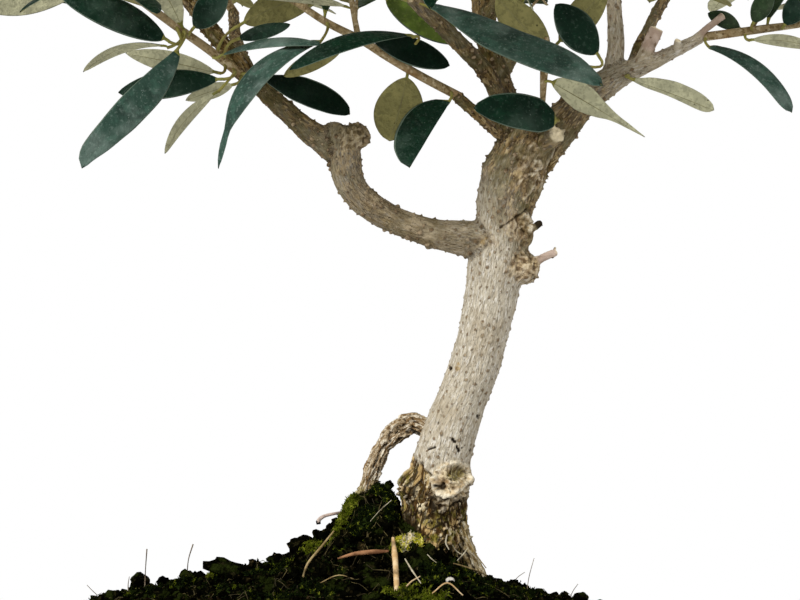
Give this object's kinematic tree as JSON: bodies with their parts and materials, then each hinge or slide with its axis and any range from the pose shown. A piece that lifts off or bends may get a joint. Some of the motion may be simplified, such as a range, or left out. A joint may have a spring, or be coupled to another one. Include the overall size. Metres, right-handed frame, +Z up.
{
  "type": "olive bonsai",
  "caption": "Olive bonsai with a leaning pale-barked trunk, an arched surface root, bare lower boughs and an open crown of narrow leaves, in a plain oval stoneware pot.",
  "frame": {"origin": "centre of the pot's flat underside", "axes": "+Z up; +X along the pot's long side, the way the trunk leans; -Y towards the side the plant is seen from"},
  "size_m": [0.3151, 0.2422, 0.3876],
  "materials": {
    "stoneware": "unglazed, matt",
    "peat": "crumbly, matt",
    "bark": "pale bark with raised dots",
    "old_bark": "flaky brown bark",
    "leaves": "leathery, satin"
  },
  "bodies": {
    "root": {"pot": "stoneware", "soil": "peat", "trunk": "bark", "arched_root_top": "old_bark", "arched_root_leg": "old_bark", "surface_root": "old_bark", "left_bough_low": "bark", "left_bough_knee": "bark", "left_bough_high": "bark", "left_bough_front": "bark", "left_bough_rear": "bark", "right_bough": "bark", "right_bough_upright": "bark", "right_bough_rear": "bark", "centre_bough": "bark", "apex_bough": "bark", "front_bough": "bark", "crotch_shoot": "bark", "right_shoot": "bark", "back_bough": "bark", "fork_bough": "bark", "foliage_left_low": "leaves", "foliage_left_top": "leaves", "foliage_left_rear": "leaves", "foliage_inner": "leaves", "foliage_centre": "leaves", "foliage_apex": "leaves", "foliage_front": "leaves", "foliage_crotch": "leaves", "foliage_back": "leaves", "foliage_right_under": "leaves", "foliage_right_low": "leaves", "foliage_right_top": "leaves", "foliage_right_rear": "leaves"}
  },
  "joints": []
}
